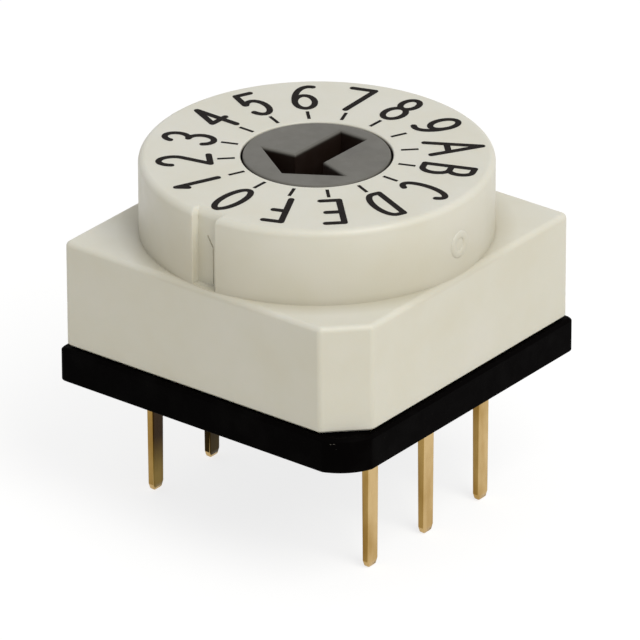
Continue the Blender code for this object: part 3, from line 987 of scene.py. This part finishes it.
@dataclass
class Base:
    """The black moulded base with its flange, spigot, pivot, pin slots and sealing troughs."""

    side: float = 10.26
    near: float = 1.57
    near_radius: float = 1.67
    corner: float = 0.18
    thickness: float = 1.04
    seam: float = 0.08
    lower_edge: float = 0.04
    spigot_half: float = 4.15
    spigot_corner: float = 0.5
    spigot_top: float = 1.62
    pivot_boss: Point = (0.75, 2.82)
    pivot: Point = (0.47, 4.42)
    row: float = 3.81
    pitch: float = 2.54
    slot: Point = (0.31, 0.56)
    trough: Triple = (1.3, 6.88, 0.35)
    edge: float = 0.02
    pivot_segments: int = 64
    glint_spot: Triple = (4.38, -5.02, 0.82)
    overlap: float = 0.2

    def build(self) -> None:
        """Make and dress the base."""
        plan = SquareOutline(self.side / 2, self.near, self.near_radius, self.corner)
        levels = [(0, plan.at(self.lower_edge)), (self.lower_edge, plan.at(0)),
                  (self.thickness - self.seam, plan.at(0)), (self.thickness, plan.at(self.seam))]
        made = Solid().loft(levels).make("base_plate")
        corner = self.spigot_corner
        shape = SquareOutline(self.spigot_half, corner, corner, corner).at(0)
        spigot = Solid().loft([(self.thickness / 2, shape), (self.spigot_top, shape)])
        foot = self.spigot_top - self.overlap
        pivot = Solid().turned([(0, foot), (self.pivot_boss[0], foot), self.pivot_boss,
                                (self.pivot[0], self.pivot_boss[1]), self.pivot, (0, self.pivot[1])],
                               self.pivot_segments)
        combine(made, Joining.ADD, [spigot.make("spigot_shape"), pivot.make("pivot_shape")])
        slots = Solid()
        troughs = Solid()
        for side in (-1, 1):
            troughs.box((side * self.row, 0, 0), (self.trough[0], self.trough[1], 2 * self.trough[2]))
            for row in (-1, 0, 1):
                slots.box((side * self.row, row * self.pitch, self.spigot_top / 2),
                          (*self.slot, self.spigot_top + 2 * self.overlap))
        combine(made, Joining.CUT, [slots.make("slot_cutter"), troughs.make("trough_cutter")])
        # the pale flecks round the glint spot are painted glints
        finish = MouldedThermoplastic("moulded_black_nylon", 0.5, 1.53, base=Shade.BLACK, low=Shade.BLACK,
                                      high=Shade.BLACK_DUSTY, cloud_size=0.9, grain_size=0.05,
                                      grain_depth=0.003, specular=0.008, glint_spot=self.glint_spot)
        dress(made, finish.build())
        soften(made, self.edge)
        place(made, Body.SWITCH, "black_plastic", "base")


@dataclass
class RotorHead:
    """The grey rotor: a head with the arrow slot, over the wavy wheel, the flange and the square drive."""

    radius: float = 2.06
    edge: float = 0.06
    top: float = 6.52
    wheel_radius: float = 3.45
    wheel_depth: float = 0.2
    positions: int = 16
    wheel_top: float = 5.11
    flange_radius: float = 4.15
    flange_top: float = 4.35
    flange_bottom: float = 4.05
    drive_side: float = 1.5
    drive_height: float = 0.5
    bore: float = 0.52
    bore_top: float = 4.45
    arrow_depth: float = 1.5
    arrow_tip: float = 1.55
    arrow_length: float = 3.2
    arrow_head: float = 0.98
    arrow_sweeps: Point = (0.32, 0.19)
    arrow_width: float = 3.07
    arrow_shaft: float = 0.96
    arrow_lip: float = 0.08
    arrow_shrink: float = 0.035
    index_turn: float = -1.0
    segments: int = 160
    wave_steps: int = 16
    bore_segments: int = 48
    edge_steps: int = 4
    lip_steps: int = 5
    longest_mitre: float = 2.0
    overlap: float = 0.2

    def arrow_outline(self, outset: float) -> Outline:
        """Give the arrow's plan outline, its tip towards -Y.

        Args:
            outset: Distance outwards, for the rounded lip.

        Returns:
            The points in order.
        """
        barb = self.arrow_head - self.arrow_tip
        necks = [barb + sweep for sweep in self.arrow_sweeps]
        end = self.arrow_length - self.arrow_tip
        half = self.arrow_shaft / 2
        points = [(0, -self.arrow_tip), (self.arrow_width / 2, barb), (half, necks[0]), (half, end),
                  (-half, end), (-half, necks[1]), (-self.arrow_width / 2, barb)]
        grown = []
        for index, point in enumerate(points):
            here = Vector(point)
            before = (here - Vector(points[index - 1])).normalized()
            after = (Vector(points[(index + 1) % len(points)]) - here).normalized()
            outward = Vector((before.y + after.y, -before.x - after.x)).normalized()
            share = outward.dot(Vector((before.y, -before.x)))
            moved = here + outward * outset * min(1 / share, self.longest_mitre)
            grown.append((moved.x, moved.y))
        return grown

    def arrow(self) -> Solid:
        """Make the slot's cutter, flared at the top so that the slot gets a rounded lip.

        Returns:
            The cutter.
        """
        levels = [(self.top - self.arrow_depth, self.arrow_outline(-self.arrow_shrink))]
        for step in range(self.lip_steps + 1):
            x, y = polar(self.arrow_lip, 90 * step / self.lip_steps)
            outline = self.arrow_outline(self.arrow_lip - x - self.arrow_shrink)
            levels.append((self.top - self.arrow_lip + y, outline))
        levels.append((self.top + self.overlap, levels[-1][1]))
        made = Solid().loft(levels)
        made.mesh.transform(Matrix.Rotation(math.radians(self.index_turn), 4, "Z"))
        return made

    def build(self) -> None:
        """Make and dress the rotor."""
        crown = arc((self.radius - self.edge, self.top - self.edge), self.edge, self.edge, 0, 90,
                    self.edge_steps)
        profile = [(0, self.flange_bottom), (self.flange_radius, self.flange_bottom),
                   (self.flange_radius, self.flange_top), (self.radius, self.flange_top), *crown,
                   (0, self.top)]
        made = Solid().turned(profile, self.segments).make("rotor_head")
        steps = self.positions * self.wave_steps
        outline = []
        for step in range(steps):
            wave = math.cos(math.pi * self.positions * step / steps) ** 2
            outline.append(polar(self.wheel_radius - self.wheel_depth * wave, 360 * step / steps))
        middle = (self.flange_bottom + self.flange_top) / 2
        wheel = Solid().loft([(middle, outline), (self.wheel_top, outline)])
        drive_height = self.drive_height + middle - self.flange_bottom
        drive = Solid().box((0, 0, middle - drive_height / 2),
                            (self.drive_side, self.drive_side, drive_height))
        combine(made, Joining.ADD, [wheel.make("wheel_shape"), drive.make("drive_shape")])
        foot = self.flange_bottom - self.drive_height - self.overlap
        bore = Solid().turned([(0, foot), (self.bore, foot), (self.bore, self.bore_top), (0, self.bore_top)],
                              self.bore_segments)
        combine(made, Joining.CUT, [bore.make("bore_cutter"), self.arrow().make("arrow_cutter")])
        # the grey gets painted shade down in the arrow slot, darker with depth
        finish = MouldedThermoplastic("moulded_grey_nylon", 0.5, 1.53, base=Shade.GREY, low=Shade.GREY_DARK,
                                      high=Shade.GREY_LIGHT, cloud_size=1.0, grain_depth=0.002, specular=0.35,
                                      recess_shade=Shade.SLOT_SHADE, recess_shade_levels=(6.41, 6.5))
        dress(made, finish.build())
        smooth(made)
        place(made, Body.ROTOR, "grey_plastic", "rotor")


@dataclass
class DialPrint:
    """The printed scale: sixteen ticks and the characters 0 to 9 and A to F."""

    level: float = 6.52
    film: float = 0.006
    positions: int = 16
    tick_inner: float = 2.31
    tick_outer: float = 2.8
    tick_width: float = 0.095
    character_inner: float = 2.92
    character_height: float = 1.6
    character_width: float = 0.74
    stroke: float = 0.18
    offset: Point = (0.025, 0.02)
    turn: float = -1.0
    knee: float = 30.0
    lift: float = 0.001
    touching: float = 1e-4
    line_share: float = 0.9
    dot_steps: int = 20

    def strokes(self) -> dict[str, list[Outline]]:
        """Give each character as strokes in a cell 1 wide and 1 high, its foot at 0.

        Returns:
            The strokes of each character, in the order of the positions.
        """
        return {
            "0": [arc((0, 0.5), 0.5, 0.5, 0, 360, 32)],
            "1": [[(0, 0.09), (0, 1), (-0.3, 0.8)]],
            "2": [arc((0, 0.72), 0.48, 0.28, 170, -35, 14) + [(-0.5, 0), (0.5, 0)]],
            "3": [arc((-0.02, 0.76), 0.45, 0.24, 160, -90, 14) + arc((-0.02, 0.26), 0.5, 0.26, 90, -160, 14)],
            "4": [[(0.5, 0.38), (-0.5, 0.38), (0.2, 1), (0.2, 0)]],
            "5": [[(0.42, 1), (-0.38, 1), (-0.45, 0.55)] + arc((-0.02, 0.33), 0.5, 0.33, 140, -150, 16)],
            "6": [arc((0, 0.3), 0.5, 0.3, 180, -180, 24), arc((0.35, 0.3), 0.85, 0.7, 180, 75, 12)],
            "7": [[(-0.5, 1), (0.68, 0.98), (-0.15, 0)]],
            "8": [arc((0, 0.27), 0.5, 0.27, 90, 450, 24), arc((0, 0.77), 0.42, 0.23, -90, 270, 24)],
            "9": [arc((0, 0.7), 0.5, 0.3, 0, 360, 24), arc((-0.35, 0.7), 0.85, 0.58, 0, -105, 12)],
            "A": [[(-0.7, 0), (0, 1.1), (0.72, 0.07)], [(-0.43, 0.42), (0.47, 0.42)]],
            "B": [[(-0.45, 0), (-0.45, 1), (0.02, 1)] + arc((0.02, 0.77), 0.38, 0.23, 90, -90, 10)
                  + [(-0.45, 0.54)],
                  [(0.02, 0.54)] + arc((0.02, 0.27), 0.45, 0.27, 90, -90, 10) + [(-0.45, 0)]],
            "C": [arc((0.05, 0.52), 0.5, 0.5, 52, 308, 24)],
            "D": [[(-0.45, 0), (-0.45, 1), (-0.1, 1)] + arc((-0.1, 0.5), 0.55, 0.5, 90, -90, 20)
                  + [(-0.45, 0)]],
            "E": [[(0.45, 0), (-0.45, 0), (-0.45, 1), (0.45, 1)], [(-0.45, 0.52), (0.3, 0.52)]],
            "F": [[(-0.22, 0), (-0.45, 1), (0.45, 1)], [(-0.34, 0.52), (0.28, 0.52)]],
        }

    def direction(self, position: int) -> float:
        """Give a position's direction in the plan: 0 towards -Y, then clockwise seen from above."""
        return -90 + self.turn - 360 * position / self.positions

    def runs(self, strokes: Sequence[Outline]) -> list[Outline]:
        """Break strokes at their sharp knees, so that the pen keeps its width there.

        Args:
            strokes: The strokes of one character.

        Returns:
            The smooth runs of points.
        """
        parts = []
        for stroke in strokes:
            part = [stroke[0]]
            for before, here, after in zip(stroke, stroke[1:], [*stroke[2:], stroke[-1]]):
                if math.dist(part[-1], here) < self.touching:
                    continue
                part.append(here)
                turn = abs(math.atan2(after[1] - here[1], after[0] - here[0])
                           - math.atan2(here[1] - before[1], here[0] - before[0])) % (2 * math.pi)
                if after != here and math.radians(self.knee) < turn < math.radians(360 - self.knee):
                    parts.append(part)
                    part = [here]
            parts.append(part)
        return [part for part in parts if len(part) > 1]

    def pen_lines(self) -> Piece:
        """Make the strokes of all characters as bare edges, in place, their ends and knees marked.

        Returns:
            An object of edges only.
        """
        lines = bmesh.new()
        knee = lines.verts.layers.int.new("knee")
        tall = self.character_height - self.stroke
        wide = self.character_width - self.stroke
        foot = self.character_inner + self.stroke / 2
        for position, strokes in enumerate(self.strokes().values()):
            turn = Matrix.Rotation(math.radians(self.direction(position) - 90), 4, "Z")
            turn = Matrix.Translation((*self.offset, 0)) @ turn
            for order, run in enumerate(self.runs(strokes)):
                level = self.level + order * self.lift
                looped = math.dist(run[0], run[-1]) < self.touching
                points = [turn @ Vector((x * wide, foot + y * tall, level)) for x, y in run[int(looped):]]
                made = [lines.verts.new(point) for point in points]
                for first, second in zip(made, made[1:] + made[:1] if looped else made[1:]):
                    lines.edges.new((first, second))
                if not looped:
                    made[0][knee] = made[-1][knee] = 1
        lines.transform(Matrix.Scale(MM, 4))
        return to_object("dial_characters", lines)

    @staticmethod
    def start_tree(name: str, sizes: Iterable[str]) -> tuple[Tree, bpy.types.bpy_prop_collection]:
        """Start a Geometry Nodes tree with named inputs.

        Args:
            name: The tree's name.
            sizes: Names of its inputs, of which Count is a whole number.

        Returns:
            The tree and its inputs' sockets.
        """
        tree = bpy.data.node_groups.new(name, "GeometryNodeTree")
        for side in ("INPUT", "OUTPUT"):
            tree.interface.new_socket("Geometry", in_out=side, socket_type="NodeSocketGeometry")
        for size in sizes:
            kind = "NodeSocketInt" if size == "Count" else "NodeSocketFloat"
            tree.interface.new_socket(size, in_out="INPUT", socket_type=kind)
        return tree, add_node(tree, "NodeGroupInput").outputs

    def pen_tree(self, finish: Material) -> Tree:
        """Build the tree that draws a flat round-ended pen line along every stroke.

        Args:
            finish: The ink.

        Returns:
            The tree, with inputs Stroke Width and Film.
        """
        tree, source = self.start_tree("pen_line", ("Stroke Width", "Film"))
        curve = add_node(tree, "GeometryNodeMeshToCurve", None, source["Geometry"])
        upright = add_node(tree, "GeometryNodeSetCurveNormal", {"mode": "Z_UP"}, curve)
        thin = add_node(tree, "ShaderNodeMath", {"operation": "MULTIPLY"}, source["Film"], self.line_share)
        section = add_node(tree, "GeometryNodeCurvePrimitiveQuadrilateral", {"mode": "RECTANGLE"},
                           Width=source["Stroke Width"], Height=thin)
        line = add_node(tree, "GeometryNodeCurveToMesh", None, upright, section, Fill_Caps=True)
        half = add_node(tree, "ShaderNodeMath", {"operation": "DIVIDE"}, source["Stroke Width"], 2.0)
        dot = add_node(tree, "GeometryNodeMeshCylinder", None, Vertices=self.dot_steps, Radius=half,
                       Depth=source["Film"])
        ends = add_node(tree, "GeometryNodeMeshToPoints", None, source["Geometry"])
        knee = add_node(tree, "GeometryNodeInputNamedAttribute", {"data_type": "INT"}, "knee")
        dots = add_node(tree, "GeometryNodeInstanceOnPoints", None, ends, Selection=knee.outputs["Attribute"],
                        Instance=dot)
        real = add_node(tree, "GeometryNodeRealizeInstances", None, dots)
        join = add_node(tree, "GeometryNodeJoinGeometry")
        for part in (line, real):
            feed(tree, join.inputs[0], part)
        dressed = add_node(tree, "GeometryNodeSetMaterial", None, join, Material=finish)
        add_node(tree, "NodeGroupOutput", None, dressed)
        return tree

    def tick_tree(self, finish: Material) -> Tree:
        """Build the tree that sets ticks round the bore.

        Args:
            finish: The ink.

        Returns:
            The tree, with inputs Count, Radius, Length, Line Width, Level and Film.
        """
        names = ("Count", "Radius", "Length", "Line Width", "Level", "Film")
        tree, source = self.start_tree("tick_ring", names)
        ring = add_node(tree, "GeometryNodeMeshCircle", None, Vertices=source["Count"],
                        Radius=source["Radius"])
        index = add_node(tree, "GeometryNodeInputIndex")
        turn = add_node(tree, "ShaderNodeMath", {"operation": "MULTIPLY"}, index,
                        2 * math.pi / self.positions)
        angle = add_node(tree, "ShaderNodeCombineXYZ", None, Z=turn)
        size = add_node(tree, "ShaderNodeCombineXYZ", None, source["Length"], source["Line Width"],
                        source["Film"])
        bar = add_node(tree, "GeometryNodeMeshCube", None, size)
        bars = add_node(tree, "GeometryNodeInstanceOnPoints", None, ring, Instance=bar, Rotation=angle)
        real = add_node(tree, "GeometryNodeRealizeInstances", None, bars)
        lift = add_node(tree, "ShaderNodeCombineXYZ", None, Z=source["Level"])
        raised = add_node(tree, "GeometryNodeSetPosition", None, real, Offset=lift)
        dressed = add_node(tree, "GeometryNodeSetMaterial", None, raised, Material=finish)
        add_node(tree, "NodeGroupOutput", None, dressed)
        return tree

    @staticmethod
    def grow(target: Piece, tree: Tree, values: dict[str, float]) -> None:
        """Run a tree on an object and keep its result as a plain mesh.

        Args:
            target: The object.
            tree: The tree.
            values: The tree's inputs by name.
        """
        step = target.modifiers.new(tree.name, "NODES")
        step.node_group = tree
        for item in tree.interface.items_tree:
            if item.item_type == "SOCKET" and item.in_out == "INPUT" and item.name in values:
                step[item.identifier] = values[item.name]
        bake(target)

    def build(self) -> None:
        """Make and dress the print."""
        finish = PrintedInk("pad_printed_ink", 0.6, specular=0.06).build()
        characters = self.pen_lines()
        self.grow(characters, self.pen_tree(finish),
                  {"Stroke Width": self.stroke * MM, "Film": 2 * self.film * MM})
        characters.data.shade_flat()
        ticks = to_object("dial_ticks", bmesh.new())
        sizes = {"Radius": (self.tick_inner + self.tick_outer) / 2,
                 "Length": self.tick_outer - self.tick_inner, "Line Width": self.tick_width,
                 "Level": self.level, "Film": 2 * self.film}
        values: dict[str, float] = {name: size * MM for name, size in sizes.items()}
        self.grow(ticks, self.tick_tree(finish), {"Count": self.positions, **values})
        shift = Matrix.Translation((self.offset[0] * MM, self.offset[1] * MM, 0))
        ticks.data.transform(shift @ Matrix.Rotation(math.radians(self.turn), 4, "Z"))
        for piece in (characters, ticks):
            place(piece, Body.SWITCH, "black_plastic")


@dataclass
class Terminals:
    """The six gold-plated terminals: tapered pins with coined edges under the base, fingers inside."""

    nodes: tuple[str, ...] = ("terminal_common_side", "terminal_common_front", "terminal_8", "terminal_4",
                              "terminal_2", "terminal_1")
    edge: float = 0.035
    touching: float = 0.0001
    flat_angle: float = 1.0

    def build(self) -> None:
        """Make a softened copy of each terminal, and dress it."""
        # the pins carry painted shade where one row faces in under the body
        finish = PlatedStrip("gold_plated_strip", 0.3, metallic=1.0, tarnish_and_shade=PinTarnishAndShade()).build()
        for name in self.nodes:
            shape = bmesh.new()
            shape.from_mesh(bpy.data.objects[name].data)
            bmesh.ops.remove_doubles(shape, verts=shape.verts, dist=self.touching * MM)
            bmesh.ops.dissolve_limit(shape, angle_limit=math.radians(self.flat_angle), verts=shape.verts,
                                     edges=shape.edges)
            made = to_object(name + "_strip", shape)
            dress(made, finish)
            soften(made, self.edge)
            place(made, Body.SWITCH, "gold_plating", name)


@dataclass
class InnerPieces:
    """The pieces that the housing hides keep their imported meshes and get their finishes."""

    finishes: dict[str, Finish] = field(default_factory=lambda: {
        "rotor_seal": MouldedThermoplastic("nitrile_rubber", 0.7, 1.52, base=Shade.RUBBER, low=Shade.RUBBER,
                                           high=Shade.BLACK_DUSTY, cloud_size=0.5),
        "code_carrier": MouldedThermoplastic("moulded_amber_resin", 0.45, 1.55, base=Shade.AMBER,
                                             low=Shade.AMBER, high=Shade.AMBER, cloud_size=1.0),
        "code_plate": PlatedStrip("gold_plated_disc", 0.3, metallic=1.0),
        **{f"detent_spring_{end}": PlatedStrip(f"spring_steel_{end}", 0.28, metallic=1.0, light=Shade.STEEL,
                                               deep=Shade.STEEL) for end in ("back", "front")},
        **{f"sealing_resin_{side}": MouldedThermoplastic(
            f"epoxy_{side}", 0.25, 1.56, base=Shade.RESIN, low=Shade.RESIN, high=Shade.BLACK_DUSTY,
            cloud_size=0.8) for side in ("right", "left")},
    })

    def build(self, nodes: dict[str, Piece]) -> None:
        """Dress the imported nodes.

        Args:
            nodes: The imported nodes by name.
        """
        for name, finish in self.finishes.items():
            dress(nodes[name], finish.build())
            LOG.info("%s: %s", name, finish.name)


@dataclass
class Studio:
    """Pale floor, one soft lamp, even surroundings and the camera at the photograph's place."""

    azimuth: float = 37.934
    elevation: float = 26.335
    roll: float = -0.162
    distance: float = 241.37
    shift: Point = (0.077, -0.9861)
    middle: float = 2.5
    lens: float = 487.5
    floor_level: float = -4.06
    floor_half: float = 600.0
    sky_level: float = 0.5
    key_azimuth: float = -15.0
    key_elevation: float = 50.0
    key_distance: float = 250.0
    key_size: float = 150.0
    key_power: float = 0.34
    key_colour: Triple = (1.0, 0.985, 0.93)

    def camera(self) -> None:
        """Make the camera."""
        turn, rise, roll = (math.radians(angle) for angle in (self.azimuth, self.elevation, self.roll))
        back = Vector((math.sin(turn) * math.cos(rise), -math.cos(turn) * math.cos(rise), math.sin(rise)))
        level = Vector((math.cos(turn), math.sin(turn), 0))
        right = level * math.cos(roll) + back.cross(level) * math.sin(roll)
        up = back.cross(right)
        where = back * self.distance + right * self.shift[0] + up * self.shift[1]
        where += Vector((0, 0, self.middle))
        data = bpy.data.cameras.new("camera")
        data.lens = self.lens
        data.sensor_width = 36
        data.clip_start = 0.01
        data.clip_end = 20
        made = add_object("camera", data)
        made.matrix_world = Matrix.Translation(where * MM) @ Matrix((right, up, back)).transposed().to_4x4()
        bpy.context.scene.camera = made

    def key_lamp(self) -> None:
        """Make the soft square lamp that looks at the switch."""
        flat, rise = polar(self.key_distance, self.key_elevation)
        where = Vector((*polar(flat, self.key_azimuth), rise))
        data = bpy.data.lights.new("key", "AREA")
        data.size = self.key_size * MM
        data.energy = self.key_power
        data.color = self.key_colour
        made = add_object("key", data)
        made.location = where * MM
        made.rotation_mode = "QUATERNION"
        made.rotation_quaternion = (Vector((0, 0, self.middle)) - where).to_track_quat("-Z", "Y")

    def floor(self) -> None:
        """Make the pale floor."""
        flat = bmesh.new()
        bmesh.ops.create_grid(flat, x_segments=1, y_segments=1, size=self.floor_half * MM)
        bmesh.ops.translate(flat, verts=flat.verts, vec=(0, 0, self.floor_level * MM))
        made = to_object("floor", flat)
        dress(made, FloorPaint("pale_floor", 0.9, specular=0.0).build())

    def sky(self) -> None:
        """Make the even white surroundings."""
        world = bpy.data.worlds.new("soft_room")
        world.use_nodes = True
        tree = world.node_tree
        tree.nodes.clear()
        strength = add_node(tree, "ShaderNodeMapRange", None, seen(tree), To_Min=self.sky_level, To_Max=1.0)
        glow = add_node(tree, "ShaderNodeBackground", None, Color=(1, 1, 1, 1), Strength=strength)
        add_node(tree, "ShaderNodeOutputWorld", None, Surface=glow)
        bpy.context.scene.world = world

    def build(self) -> None:
        """Set up the studio."""
        self.camera()
        self.key_lamp()
        self.floor()
        self.sky()
        bpy.context.scene.view_settings.view_transform = "Standard"


def main() -> None:
    """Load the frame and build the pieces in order."""
    logging.basicConfig(level=logging.INFO, format="%(message)s")
    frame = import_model()
    sections: list[tuple[str, Callable[[], None]]] = [
        ("studio", Studio().build),
        ("housing", Housing().build),
        ("base", Base().build),
        ("rotor", RotorHead().build),
        ("print", DialPrint().build),
        ("terminals", Terminals().build),
        ("inner pieces", lambda: InnerPieces().build(frame["nodes"])),
    ]
    for name, build in sections:
        build()
        LOG.info("%s done", name)


if __name__ == "__main__":
    main()
